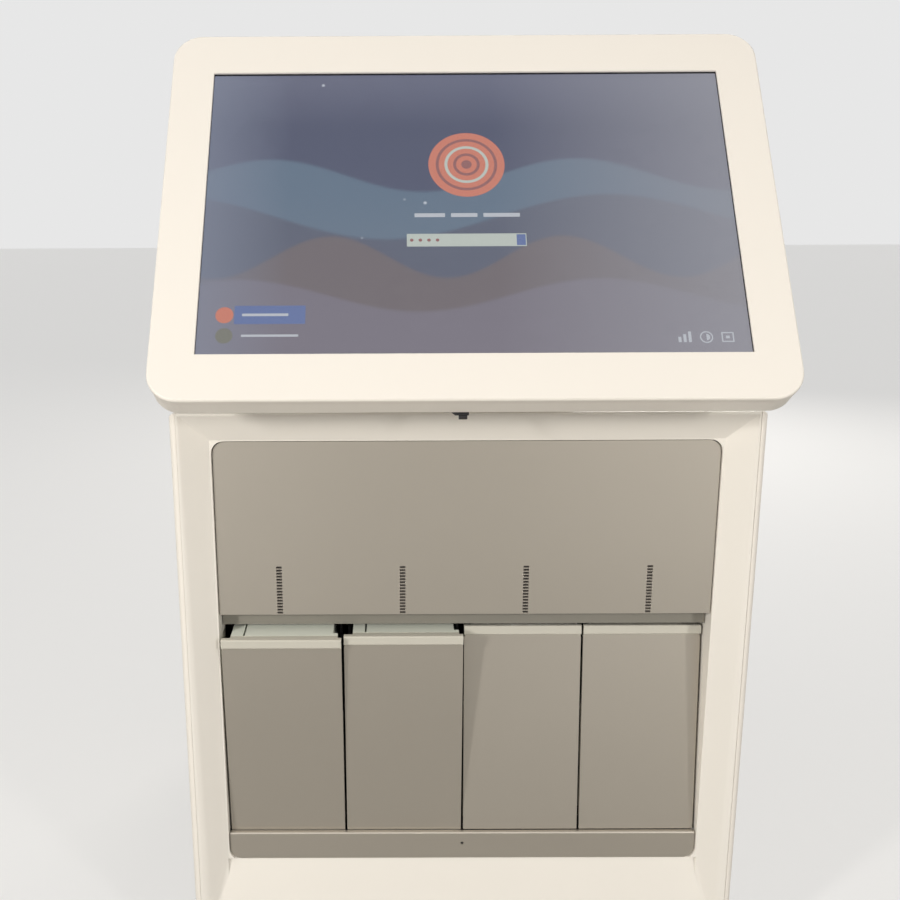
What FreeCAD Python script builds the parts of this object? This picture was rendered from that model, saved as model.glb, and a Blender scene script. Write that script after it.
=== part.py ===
import FreeCAD, Part
import math
import os
import Sketcher

# Bench-top four-bay amplification instrument. X runs to the right seen from the front, -Y faces
# the user, +Z is up. The origin is on the table under the middle of the whole outline. Sizes in mm.

SIZES = {
    "bays": 4,  # module bays side by side
    "pitch": 66.15,  # door and bay spacing
    "open_side": 0.6,  # opening beside the outer bays
    "margin": 19.5,  # cabinet beside the opening
    "front_y": -140,  # front plane of the cabinet
    "depth": 331.5,  # cabinet depth
    "brow": 16.4,  # cabinet above the front opening
    "shell_z": 8,  # underside of the shell, on the feet
    "side_t": 3.5,  # side panel thickness
    "side_r": 3.2,  # rounding of the side panel's front edge
    "seam": 0.3,  # seam between mouldings
    "side_seam": 0.1,  # seam beside the side panels
    "wall": 3,  # wall of covers and panels
    "foot_d": 22,  # foot diameter
    "foot_in": 28,  # foot centre from the cabinet's faces
    "fascia_h": 95.8,  # fascia height
    "chin_h": 48.5,  # height of the chin
    "open_r": 6.7,  # corner radius of the front opening
    "rim_depth": 8.5,  # depth of the opening's rim behind the front plane
    "chin_depth": 10.5,  # depth of the chin's upper end behind the front plane
    "chin_z": 19,  # lower end of the chin
    "bevel_edge": 1.4,  # flat edge left outside the bevel
    "frame_deep": 28,  # depth of the surround's moulding
    "rib": 2.6,  # moulding wall of the surround
    "face_in": 10,  # face of fascia and kick strip behind the front plane
    "edge_gap": 0.5,  # gap around fascia and kick strip
    "head_show": 9.1,  # header rail showing under the fascia
    "fascia_t": 2,  # fascia thickness
    "trim_r": 6.2,  # corner radius of fascia and kick strip
    "slot_w": 3,  # slot width
    "slot_h": 1.15,  # slot height
    "slot_pitch": 1.71,  # slot spacing
    "slot_n": 16,  # slots in a column
    "slot_up": 1.15,  # middle of the lowest slot above the fascia's lower edge
    "slot_left": 0.4,  # slot columns left of the bays' middles
    "head_gap": 2.6,  # header rail above the closed doors
    "head_in": 9,  # header rail behind the fascia's face
    "head_t": 2.5,  # header rail thickness
    "kick_h": 16.2,  # kick strip height
    "kick_t": 2.5,  # kick strip thickness
    "kick_r": 1.1,  # rounding of the kick strip's top edge
    "screw_down": 6.9,  # kick screw below the top of the kick strip
    "screw_d": 1.9,  # head of the kick screw
    "door_gap": 1.3,  # gap between doors
    "lean": 4.8,  # backward lean of a closed door
    "open_1": 8.5,  # rest opening of door 1
    "open_2": 6.6,  # rest opening of door 2
    "pin_drop": 2,  # pin axis above the kick strip
    "pin_back": 5,  # pin axis behind the kick strip
    "rail_gap": 1.2,  # hinge rail beside the opening's sides
    "pin_d": 3,  # hinge pin diameter
    "skin_t": 1.2,  # door skin thickness
    "skin_out": 4.5,  # skin face in front of the pin axis
    "skin_low": -2,  # lower edge of the skin from the pin axis
    "door_top": 119,  # top of the lip from the pin axis
    "lip_h": 5.3,  # lip height
    "lip_out": 1.5,  # lip proud of the skin
    "plate_t": 3,  # thickness of the door frame's plate
    "barrel_r": 3.2,  # hinge barrel radius
    "barrel_hw": 27,  # half length of the hinge barrel
    "lug_hw": 31,  # outer face of the hinge lugs
    "lug_t": 3.4,  # lug thickness
    "lug_r": 2.75,  # lug half height at the pin
    "fit": 0.05,  # radial running clearance of pins
    "tray_low": 70,  # underside of the tray from the pin axis
    "tray_back": 15,  # back of the tray behind the pin axis
    "tray_hw": 27.7,  # half width of the tray
    "tray_step": 2.6,  # wider step of the tray at the right behind the lip
    "step_deep": 3,  # depth of the tray's step
    "tray_wall": 2.2,  # tray wall
    "latch_x": -20.7,  # middle of the latch slit in the tray
    "latch_w": 1,  # width of the latch slit
    "bay_in": 28,  # module housings behind the fascia's face
    "bay_deep": 176,  # depth of the module housings
    "bay_up": 4.5,  # underside of the module housings above the opening's bottom
    "bay_gap": 0.6,  # module housings below the header rail's lower edge
    "bay_hw": 31.6,  # half width of a module housing
    "bay_wall": 1.8,  # housing wall
    "rec_hw": 27,  # half width of the cartridge receiver
    "rec_deep": 70,  # depth of the cartridge receiver
    "rec_gap": 16,  # receiver face behind the housing front
    "pocket_hw": 16,  # half width of the cartridge pocket
    "pocket_deep": 52,  # depth of the cartridge pocket
    "pocket_low": 14,  # pocket floor above the receiver's underside
    "pocket_h": 88,  # pocket height
    "rim_h": 3,  # rim of the base tray above its floor
    "shelf_t": 2,  # shelf thickness
    "phi": 55.29,  # display plane above the horizontal
    "disp_out": 75,  # lower edge of the lit area in front of the tilt axis
    "disp_down": 28,  # lower edge of the lit area below the tilt axis
    "disp_side": 21.85,  # bezel beside the lit area
    "disp_h": 163.2,  # lit area height
    "bezel_low": 24,  # bezel below the lit area
    "bezel_top": 24.4,  # bezel above the lit area
    "mon_r": 15,  # corner radius of the display unit
    "bezel_t": 3.4,  # bezel thickness
    "bezel_ease": 0.8,  # eased front edge of the bezel
    "lip_t": 1.5,  # bezel lip over the glass
    "glass_over": 3,  # glass under the bezel lip on each side
    "glass_t": 1.1,  # glass thickness
    "panel_t": 5,  # display panel thickness
    "shell_t": 15.7,  # display unit thickness at its edge
    "shell_in": 0.3,  # rear shell inside the bezel's outline
    "shell_ease": 1,  # eased back edge of the rear shell
    "hump_hw": 92,  # half width of the rear housing
    "hump_low": 22,  # lower end of the rear housing
    "hump_down": 15.2,  # upper end of the rear housing below the top of the lit area
    "hump_out": 31,  # back of the rear housing
    "duct_w": 3,  # width of the rear housing's vents
    "duct_h": 22,  # height of the rear housing's vents
    "duct_pitch": 9,  # spacing of the rear housing's vents
    "duct_n": 8,  # vents in the rear housing
    "duct_down": 16,  # vents below the rear housing's upper end
    "tab_left": 10.4,  # left end of the tab under the display unit
    "tab_right": 2.1,  # right end of the tab
    "tab_t": 1.4,  # thickness of the tab
    "pivot_in": 39,  # tilt axis behind the front plane
    "neck_h": 63.4,  # tilt axis above the cabinet
    "neck_hw": 46,  # half width of the neck
    "neck_d": 44,  # neck depth
    "cheek_t": 12,  # neck cheek thickness
    "knuckle_r": 13,  # neck and yoke radius at the tilt axis
    "tilt_d": 8,  # tilt pin diameter
    "fan_in": 78.4,  # fan axis inside the cabinet's side
    "fan_down": 79.6,  # fan axis below the cabinet's top
    "fan_s": 80,  # fan frame side
    "fan_t": 25,  # fan frame depth
    "fan_bore": 38,  # fan bore radius
    "hub_r": 17,  # rotor hub radius
    "blade_r": 36.6,  # rotor radius
    "blade_n": 7,  # blades
    "vent_w": 62,  # grille slot length
    "vent_h": 3.6,  # grille slot height
    "vent_pitch": 7,  # grille slot spacing
    "vent_n": 10,  # grille slots
    "inlet_in": 40.4,  # power inlet inside the cabinet's side
    "inlet_up": 38,  # power inlet above the cabinet's underside
    "inlet_hw": 13.7,  # half width of the power inlet
    "inlet_hh": 9.7,  # half height of the power inlet
    "rocker_step": 36,  # rocker switch from the inlet
    "rocker_w": 13,  # rocker width
    "rocker_h": 19,  # rocker height
    "rocker_tilt": 10,  # rocker tilt at rest
    "stub_r": 1.6,  # rocker pivot stub radius
    "port_in": 68.4,  # port block inside the cabinet's side
    "port_hw": 31.7,  # half width of the port block
    "port_hh": 8.7,  # half height of the port block
    "port_deep": 20,  # depth of the port block behind the panel
    "socket_hw": 7.5,  # half width of a socket
    "socket_1": -18.5,  # middle of the first socket in the port block
    "socket_2": 1.5,  # middle of the second socket
    "socket_3": 20.5,  # middle of the network socket
    "usb_hh": 3,  # half height of the first two sockets
    "net_hh": 6.2,  # half height of the network socket
    "net_up": 0.2,  # network socket above the port block's middle
    "board_t": 1.6,  # board thickness
    "inside_gap": 14,  # space between the module boards and what stands behind them
    "supply_w": 95,  # power supply width
    "supply_h": 71,  # power supply height
    "supply_in": 12.4,  # power supply inside the cabinet's side
    "supply_back": 30,  # power supply in front of the back plane
    "main_w": 160,  # main board width
    "main_in": 22.4,  # main board inside the cabinet's side
    "main_back": 24,  # main board in front of the back plane
    "main_up": 10,  # main board above the base tray's rim
    "post": 5,  # side of the main board's posts
    "post_in": 3.5,  # posts inside the main board's edges
    "chip_h": 14,  # height of the shielded part on the main board
    "chip_w": 40,  # side of the shielded part
}

DOC = FreeCAD.newDocument("bench_instrument")
SHEET = DOC.addObject("Spreadsheet::Sheet", "Dims")
NODES = []


class Val:
    """A number together with the spreadsheet expression that gives it."""

    def __init__(self, num, text):
        self.num = float(num)
        self.text = text

    def __add__(self, other):
        return join(self, "+", other, lambda a, b: a + b)

    def __sub__(self, other):
        return join(self, "-", other, lambda a, b: a - b)

    def __mul__(self, other):
        return join(self, "*", other, lambda a, b: a * b)

    def __truediv__(self, other):
        return join(self, "/", other, lambda a, b: a / b)

    def __radd__(self, other):
        return val(other) + self

    def __rsub__(self, other):
        return val(other) - self

    def __rmul__(self, other):
        return val(other) * self

    def __rtruediv__(self, other):
        return val(other) / self

    def __neg__(self):
        return Val(-self.num, "(0 - %s)" % self.text)


def val(x):
    return x if isinstance(x, Val) else Val(x, repr(float(x)))


def join(a, sign, b, work):
    a = val(a)
    b = val(b)
    return Val(work(a.num, b.num), "(%s %s %s)" % (a.text, sign, b.text))


def sine(angle):
    return Val(math.sin(math.radians(angle.num)), "sin(%s * 1 deg)" % angle.text)


def cosine(angle):
    return Val(math.cos(math.radians(angle.num)), "cos(%s * 1 deg)" % angle.text)


class Dims:
    """The driving sizes, one attribute for each alias in the sheet."""


D = Dims()
for row, (alias, number) in enumerate(SIZES.items(), 1):
    SHEET.set("A%d" % row, alias)
    SHEET.set("B%d" % row, str(number))
    SHEET.setAlias("B%d" % row, alias)
    setattr(D, alias, Val(number, "Dims." + alias))
DOC.recompute()

# Places worked out from the driving sizes.
D.rear_y = D.front_y + D.depth
D.face_y = D.front_y + D.face_in
D.head_y = D.face_y + D.head_in
D.open_bottom = D.chin_z + D.chin_h
D.kick_top = D.open_bottom + D.edge_gap + D.kick_h
D.screw_z = D.kick_top - D.screw_down
D.pin_y = D.face_y + D.kick_t + D.pin_back
D.pin_z = D.kick_top + D.pin_drop
D.head_z = D.pin_z + D.door_top + D.head_gap
D.fascia_bottom = D.head_z + D.head_show
D.slot_low = D.fascia_bottom + D.slot_up
D.open_top = D.fascia_bottom + D.fascia_h + D.edge_gap
D.top_z = D.open_top + D.brow
D.open_hw = D.pitch * D.bays / 2 + D.open_side
D.half_w = D.open_hw + D.margin
D.seam_hw = D.half_w - D.side_t
D.inner_hw = D.seam_hw - D.side_seam
D.trim_hw = D.open_hw - D.edge_gap
D.rail_hw = D.open_hw - D.rail_gap
D.plate_z = D.shell_z + D.wall + D.rim_h
D.bay_front = D.face_y + D.bay_in
D.bay_back = D.bay_front + D.bay_deep
D.bay_low = D.open_bottom + D.bay_up
D.bay_top = D.head_z - D.bay_gap
D.pivot_y = D.front_y + D.pivot_in
D.pivot_z = D.top_z + D.neck_h
D.disp_y = D.pivot_y - D.disp_out
D.disp_z = D.pivot_z - D.disp_down
D.disp_hw = D.half_w - D.disp_side
D.mon_low = -D.bezel_low
D.mon_high = D.disp_h + D.bezel_top
D.hump_high = D.disp_h - D.hump_down
D.fan_x = D.half_w - D.fan_in
D.fan_z = D.top_z - D.fan_down
D.inlet_x = D.inlet_in - D.half_w
D.inlet_z = D.shell_z + D.inlet_up
D.rocker_x = D.inlet_x + D.rocker_step
D.port_x = D.half_w - D.port_in
BAYS = int(D.bays.num)
OPENINGS = {1: D.open_1, 2: D.open_2}


def body(label, place=None, turn=None):
    """A body with its own placement: place gives x, y, z and turn an angle about X."""
    obj = DOC.addObject("PartDesign::Body", label)
    obj.Label = label
    NODES.append(obj)
    if place is not None:
        x, y, z = [val(v).text for v in place]
        angle = val(turn if turn is not None else 0).text
        obj.setExpression("Placement", "create(<<placement>>; create(<<vector>>; %s; %s; %s); "
                          "create(<<rotation>>; create(<<vector>>; 1; 0; 0); %s))" % (x, y, z, angle))
    return obj


def bind(obj, prop, value):
    """Set a property to a value and to the expression behind it."""
    value = val(value)
    setattr(obj, prop, value.num)
    obj.setExpression(prop, value.text)


def fix(sketch, kind, name, value, *where):
    """Add a driving constraint and bind it."""
    value = val(value)
    index = sketch.addConstraint(Sketcher.Constraint(kind, *where, value.num))
    sketch.renameConstraint(index, name)
    sketch.setExpression("Constraints." + name, value.text)


def sketch_on(owner, plane, level):
    """A sketch on one of the body's origin planes, moved along the plane's normal to a level."""
    sketch = owner.newObject("Sketcher::SketchObject", owner.Label + "_sketch")
    faces = [f for f in owner.Origin.OriginFeatures if f.Role == plane + "_Plane"]
    sketch.AttachmentSupport = [(faces[0], "")]
    sketch.MapMode = "FlatFace"
    if plane == "XZ":
        level = -val(level)
    sketch.setExpression("AttachmentOffset.Base.z", val(level).text)
    return sketch


def add_loop(sketch, points):
    """A closed outline with every corner fixed from the sketch origin."""
    first = sketch.GeometryCount
    count = len(points)
    spots = [FreeCAD.Vector(val(x).num, val(y).num, 0) for x, y in points]
    for i in range(count):
        sketch.addGeometry(Part.LineSegment(spots[i], spots[(i + 1) % count]), False)
    for i in range(count):
        sketch.addConstraint(Sketcher.Constraint("Coincident", first + i, 2, first + (i + 1) % count, 1))
    for i, (x, y) in enumerate(points):
        fix(sketch, "DistanceX", "x%d" % (first + i), x, -1, 1, first + i, 1)
        fix(sketch, "DistanceY", "y%d" % (first + i), y, -1, 1, first + i, 1)


def add_circle(sketch, x, y, radius):
    """A circle fixed from the sketch origin."""
    index = sketch.GeometryCount
    centre = FreeCAD.Vector(val(x).num, val(y).num, 0)
    sketch.addGeometry(Part.Circle(centre, FreeCAD.Vector(0, 0, 1), val(radius).num), False)
    fix(sketch, "DistanceX", "cx%d" % index, x, -1, 1, index, 3)
    fix(sketch, "DistanceY", "cy%d" % index, y, -1, 1, index, 3)
    fix(sketch, "Radius", "r%d" % index, radius, index)


def box(x0, x1, y0, y1):
    """Corners of a rectangle in a sketch."""
    return [(x0, y0), (x1, y0), (x1, y1), (x0, y1)]


def hexagon(x, y, flats):
    """Corners of a hexagon from its width across the flats, two corners level with the middle."""
    corner = flats / math.sqrt(3)
    ring = [(-1, 0), (-0.5, -0.5), (0.5, -0.5), (1, 0), (0.5, 0.5), (-0.5, 0.5)]
    return [(x + corner * i, y + flats * j) for i, j in ring]


def draw(owner, plane, level, loops=(), circles=()):
    sketch = sketch_on(owner, plane, level)
    for points in loops:
        add_loop(sketch, points)
    for circle in circles:
        add_circle(sketch, *circle)
    return sketch


def settle(owner, made):
    """Make a feature the body's tip and see that it holds."""
    owner.Tip = made
    DOC.recompute()
    if "Invalid" in made.State:
        raise ValueError("%s does not build" % made.Label)
    return made


def feature(owner, kind, sketch, length, back=False):
    made = owner.newObject("PartDesign::" + kind, owner.Label + "_" + kind.lower())
    made.Profile = sketch
    made.Reversed = back
    bind(made, "Length", length)
    return settle(owner, made)


def pad(owner, plane, level, length, loops=(), circles=(), back=False):
    """Add material from the plane's level; back turns the direction round."""
    return feature(owner, "Pad", draw(owner, plane, level, loops, circles), length, back)


def cut(owner, plane, level, length, loops=(), circles=(), back=False):
    """Take material away from the plane's level against its normal, or along it with back."""
    before = owner.Shape.Volume
    made = feature(owner, "Pocket", draw(owner, plane, level, loops, circles), length, back)
    if owner.Shape.Volume > before - 1e-6:
        raise ValueError("nothing cut from " + owner.Label)
    return made


def edges_where(owner, test):
    """Names of the edges of the body's present shape whose two ends and middle pass a test."""
    found = []
    for index, edge in enumerate(owner.Tip.Shape.Edges, 1):
        middle = edge.valueAt((edge.FirstParameter + edge.LastParameter) / 2)
        ends = [v.Point for v in edge.Vertexes]
        if len(ends) == 2 and test(ends[0], ends[1], middle):
            found.append("Edge%d" % index)
    return found


def dress(owner, kind, prop, size, test):
    names = edges_where(owner, test)
    before = owner.Tip
    made = owner.newObject("PartDesign::" + kind, owner.Label + "_" + kind.lower())
    made.Base = (before, names)
    bind(made, prop, size)
    return settle(owner, made)


def round_off(owner, radius, test):
    """Round the chosen edges of a body."""
    return dress(owner, "Fillet", "Radius", radius, test)


def ease(owner, size, test):
    """Chamfer the chosen edges of a body."""
    return dress(owner, "Chamfer", "Size", size, test)


def along(axis, a, b, limit=1e-4):
    """Whether the line from a to b runs along an axis."""
    step = b - a
    rest = [abs(step[i]) for i in range(3) if i != axis]
    return max(rest) < limit and abs(step[axis]) > limit


def near(number, value, limit=0.02):
    return abs(number - val(value).num) < limit


def repeat(owner, feats, axis, step, count, second=None):
    """Repeat features in one row, or in two directions."""
    rows = [(axis, step, count)] + ([second] if second else [])
    parts = []
    if second:
        multi = owner.newObject("PartDesign::MultiTransform", owner.Label + "_multi")
        multi.Originals = feats
    for way, gap, number in rows:
        row = owner.newObject("PartDesign::LinearPattern", owner.Label + "_row")
        lines = [f for f in owner.Origin.OriginFeatures if f.Role == way + "_Axis"]
        row.Direction = (lines[0], [""])
        row.Mode = "Spacing"
        bind(row, "Offset", gap)
        row.Occurrences = int(val(number).num)
        row.setExpression("Occurrences", val(number).text)
        if not second:
            row.Originals = feats
        parts.append(row)
    if second:
        multi.Transformations = parts
        return settle(owner, multi)
    return settle(owner, parts[0])


def block(label, x, y, z, place=None, turn=None):
    """A plain block between two values on each axis."""
    made = body(label, place, turn)
    pad(made, "XY", z[0], val(z[1]) - z[0], [box(x[0], x[1], y[0], y[1])])
    return made


def bay_x(bay):
    """Middle of a bay, numbered from 1 at the left."""
    return D.pitch * (bay - (D.bays + 1) / 2)


def make_sides():
    for name, side in (("side_panel_left", -1), ("side_panel_right", 1)):
        panel = body(name)
        inner = D.seam_hw * side
        outer = D.half_w * side
        pad(panel, "XZ", D.front_y, D.rear_y - D.front_y,
            [box(inner, outer, D.shell_z, D.top_z)], back=True)
        edge = outer.num
        low, high = D.shell_z.num, D.top_z.num
        round_off(panel, D.side_r, lambda a, b, m: near(m.x, edge) and (
            near(m.y, D.front_y) or near(m.z, high)) and not near(m.z, low))


def make_surround():
    frame = body("front_surround")
    hw = D.inner_hw
    low = D.shell_z + D.wall + D.seam
    pad(frame, "XZ", D.front_y, D.frame_deep, [box(-hw, hw, low, D.top_z)], back=True)
    cut(frame, "XZ", D.front_y, D.frame_deep,
        [box(-D.open_hw, D.open_hw, D.open_bottom, D.open_top)])
    round_off(frame, D.open_r, lambda a, b, m: along(1, a, b) and near(abs(m.x), D.open_hw))
    bevel(frame, hw)
    hollow_back(frame, hw)


def bevel(frame, hw):
    """Funnel from the front plane to the rim, with the long slope of the chin at the bottom."""
    rim_hw = D.open_hw + D.bevel_edge / 2
    front = sketch_on(frame, "XZ", D.front_y - 1)
    wide = hw - D.bevel_edge
    grow = 1 / D.rim_depth
    side_out = wide + (wide - rim_hw) * grow
    high_out = D.top_z - D.bevel_edge + (D.top_z - D.bevel_edge - D.open_top) * grow
    low_out = D.chin_z - (D.open_bottom - D.chin_z) / D.chin_depth
    add_loop(front, box(-side_out, side_out, low_out, high_out))
    back = sketch_on(frame, "XZ", D.front_y + D.rim_depth)
    low_in = D.open_bottom - (D.open_bottom - D.chin_z) * (D.chin_depth - D.rim_depth) / D.chin_depth
    add_loop(back, box(-rim_hw, rim_hw, low_in, D.open_top + D.bevel_edge / 2))
    loft = frame.newObject("PartDesign::SubtractiveLoft", "surround_bevel")
    loft.Profile = front
    loft.Sections = [back]
    loft.Ruled = True
    settle(frame, loft)
    cut(frame, "YZ", -rim_hw, rim_hw * 2, [[
        (D.front_y + D.rim_depth - 0.5, low_in), (D.front_y + D.rim_depth, low_in),
        (D.front_y + D.chin_depth, D.open_bottom), (D.front_y + D.chin_depth, D.open_bottom + 1),
        (D.front_y + D.rim_depth - 0.5, D.open_bottom + 1)]], back=True)


def hollow_back(frame, hw):
    """Hollow in the back of the moulding, open at the back."""
    y0 = D.front_y + D.frame_deep
    deep = D.frame_deep - D.chin_depth - D.rib
    cut(frame, "XZ", y0, deep, [
        box(-hw + D.rib, -D.open_hw - D.rib, D.shell_z + D.wall * 3, D.top_z - D.rib)], back=True)
    cut(frame, "XZ", y0, deep, [
        box(D.open_hw + D.rib, hw - D.rib, D.shell_z + D.wall * 3, D.top_z - D.rib)], back=True)
    cut(frame, "XZ", y0, deep, [
        box(-D.open_hw, D.open_hw, D.shell_z + D.wall * 3, D.open_bottom - D.rib * 2)], back=True)


def make_covers():
    hw = D.inner_hw
    block("top_cover", (-hw, hw), (D.front_y + D.frame_deep + D.seam, D.rear_y),
          (D.top_z - D.wall, D.top_z))
    tray = body("base_tray")
    floor = D.shell_z + D.wall
    back = D.rear_y - D.wall - D.seam
    pad(tray, "XY", D.shell_z, D.wall, [box(-hw, hw, D.front_y + D.side_r, back)])
    start = D.front_y + D.frame_deep + D.seam
    pad(tray, "XY", floor, D.plate_z - floor, [
        box(-hw, hw, start, back), box(-hw + D.wall, hw - D.wall, start + D.wall, back - D.wall)])
    for index, (sx, sy) in enumerate(((-1, 0), (1, 0), (-1, 1), (1, 1)), 1):
        y = D.front_y + D.foot_in if sy == 0 else D.rear_y - D.foot_in
        foot = body("foot_%d" % index, ((D.half_w - D.foot_in) * sx, y, 0))
        pad(foot, "XY", 0, D.shell_z, circles=[(0, 0, D.foot_d / 2)])


def make_rear():
    hw = D.inner_hw
    rear = body("rear_panel")
    pad(rear, "XZ", D.rear_y - D.wall, D.wall,
        [box(-hw, hw, D.shell_z, D.top_z - D.wall - D.seam)], back=True)
    cut(rear, "XZ", D.rear_y, D.wall, [
        box(D.inlet_x - D.inlet_hw - D.seam, D.inlet_x + D.inlet_hw + D.seam,
            D.inlet_z - D.inlet_hh - D.seam, D.inlet_z + D.inlet_hh + D.seam),
        box(D.rocker_x - D.rocker_w / 2 - 1.5, D.rocker_x + D.rocker_w / 2 + 1.5,
            D.inlet_z - D.rocker_h / 2 - 1.5, D.inlet_z + D.rocker_h / 2 + 1.5),
        box(D.port_x - D.port_hw - D.seam, D.port_x + D.port_hw + D.seam,
            D.inlet_z - D.port_hh - D.seam, D.inlet_z + D.port_hh + D.seam)], back=True)
    low = D.fan_z - D.vent_pitch * (D.vent_n - 1) / 2
    slot = cut(rear, "XZ", D.rear_y, D.wall, [
        box(-D.fan_x - D.vent_w / 2, -D.fan_x + D.vent_w / 2, low - D.vent_h / 2, low + D.vent_h / 2)],
        back=True)
    repeat(rear, [slot], "Z", D.vent_pitch, D.vent_n, ("X", D.fan_x * 2, 2))
    for index, side in enumerate((-1, 1), 1):
        make_fan(index, D.fan_x * side)


def make_fan(index, x):
    half = D.fan_s / 2
    back = D.rear_y - D.wall
    place = (x, back - D.fan_t, D.fan_z)
    shell = body("fan_frame_%d" % index, place)
    pad(shell, "XZ", 0, D.fan_t, [box(-half, half, -half, half)], back=True)
    cut(shell, "XZ", 0, D.fan_t, circles=[(0, 0, D.fan_bore)])
    pad(shell, "XZ", 0, 6, [box(-half + 1, half - 1, -6, 6)], back=True)
    rotor = body("fan_rotor_%d" % index, place)
    pad(rotor, "XZ", 7.4, D.fan_t - 10, circles=[(0, 0, D.hub_r)], back=True)
    blade = pad(rotor, "YZ", D.hub_r - 1.5, D.blade_r - D.hub_r + 1.5,
                [[(9, -5), (10.6, -5.6), (20.6, 4.4), (19, 5)]])
    ring = rotor.newObject("PartDesign::PolarPattern", "blades")
    ring.Originals = [blade]
    ring.Axis = ([f for f in rotor.Origin.OriginFeatures if f.Role == "Y_Axis"][0], [""])
    ring.Angle = 360
    ring.Occurrences = int(D.blade_n.num)
    ring.setExpression("Occurrences", D.blade_n.text)
    settle(rotor, ring)


def make_connectors():
    y = D.rear_y - D.wall
    inlet = block("power_inlet", (-D.inlet_hw, D.inlet_hw), (-22, 4.5), (-D.inlet_hh, D.inlet_hh),
                  (D.inlet_x, y, D.inlet_z))
    rim = 2
    cut(inlet, "XZ", 4.5, 18, [
        box(-D.inlet_hw + rim, D.inlet_hw - rim, -D.inlet_hh + rim, D.inlet_hh - rim)], back=True)
    pad(inlet, "XZ", -13.5, 13, [box(-1.2, 1.2, 1, 4), box(-8, -5.6, -4, -1), box(5.6, 8, -4, -1)],
        back=True)
    half = D.rocker_w / 2
    high = D.rocker_h / 2
    case = block("rocker_case", (-half - 1.3, half + 1.3), (-20, 3.8), (-high - 1.3, high + 1.3),
                 (D.rocker_x, y, D.inlet_z))
    cut(case, "XZ", 3.8, 16, [box(-half - 0.3, half + 0.3, -high - 0.3, high + 0.3)], back=True)
    cut(case, "YZ", -half - 2, D.rocker_w + 4, circles=[(0, 0, D.stub_r + D.fit)], back=True)
    rocker = body("power_rocker", (D.rocker_x, y, D.inlet_z), D.rocker_tilt)
    pad(rocker, "YZ", -half, D.rocker_w, [[
        (-6, -high * 0.6), (1.5, -high + 0.4), (5.4, -high + 1), (3.6, 0), (5.4, high - 1),
        (1.5, high - 0.4), (-6, high * 0.6)]])
    pad(rocker, "YZ", -half - 1.2, D.rocker_w + 2.4, circles=[(0, 0, D.stub_r)])
    ports = block("port_block", (-D.port_hw, D.port_hw), (-D.port_deep, 3.6), (-D.port_hh, D.port_hh),
                  (D.port_x, y, D.inlet_z))
    sockets = [(D.socket_1, D.usb_hh, 0), (D.socket_2, D.usb_hh, 0), (D.socket_3, D.net_hh, D.net_up)]
    cut(ports, "XZ", 3.6, D.port_deep * 0.6, [
        box(x - D.socket_hw, x + D.socket_hw, up - high, up + high)
        for x, high, up in sockets], back=True)


def make_fascia():
    fascia = body("fascia_panel")
    top = D.open_top - D.edge_gap
    pad(fascia, "XZ", D.face_y, D.fascia_t, [box(-D.trim_hw, D.trim_hw, D.fascia_bottom, top)], back=True)
    round_off(fascia, D.trim_r, lambda a, b, m: along(1, a, b) and near(m.z, top))
    half = D.slot_w / 2
    x = bay_x(1) - D.slot_left
    slot = cut(fascia, "XZ", D.face_y, D.fascia_t, [
        box(x - half, x + half, D.slot_low - D.slot_h / 2, D.slot_low + D.slot_h / 2)])
    repeat(fascia, [slot], "Z", D.slot_pitch, D.slot_n, ("X", D.pitch, D.bays))
    guide = body("light_guide")
    y = D.face_y + D.fascia_t
    low = D.fascia_bottom + D.seam
    high = low + D.slot_pitch * (D.slot_n + 1)
    pad(guide, "XZ", y, 1.5, [
        box(bay_x(b) - D.slot_w, bay_x(b) + D.slot_w, low, high) for b in range(1, BAYS + 1)], back=True)
    pad(guide, "XZ", y + 1.5, 2, [box(bay_x(1) - 8, bay_x(BAYS) + 8, low, high)], back=True)
    block("led_board", (bay_x(1) - 12, bay_x(BAYS) + 12), (y + 3.5, y + 3.5 + D.board_t),
          (low - 0.3, high + 6))
    make_header(y)


def make_header(y):
    """Recessed rail that carries the fascia and closes the space above the doors."""
    rail = body("header_rail")
    pad(rail, "YZ", -D.trim_hw, D.trim_hw * 2, [
        box(D.head_y, D.head_y + D.head_t, D.head_z, D.open_top - D.seam)])
    round_off(rail, D.trim_r, lambda a, b, m: along(1, a, b) and near(m.z, D.open_top - D.seam))
    ledge = D.open_top - D.edge_gap - 8
    pad(rail, "XZ", y, D.head_y - y, [box(-D.trim_hw + 8, D.trim_hw - 8, ledge, ledge + 5)], back=True)


def make_kick():
    kick = body("kick_strip")
    low = D.open_bottom + D.edge_gap
    pad(kick, "XZ", D.face_y, D.kick_t, [box(-D.trim_hw, D.trim_hw, low, D.kick_top)], back=True)
    round_off(kick, D.trim_r, lambda a, b, m: along(1, a, b) and near(m.z, low))
    round_off(kick, D.kick_r, lambda a, b, m: along(0, a, b) and near(m.z, D.kick_top)
              and near(m.y, D.face_y))
    cut(kick, "XZ", D.face_y, D.kick_t, circles=[(0, D.screw_z, D.screw_d / 2)])
    screw = body("kick_screw")
    pad(screw, "XZ", D.face_y + 0.5, D.kick_t + 4, circles=[(0, D.screw_z, D.screw_d / 2 - 0.05)],
        back=True)


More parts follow.
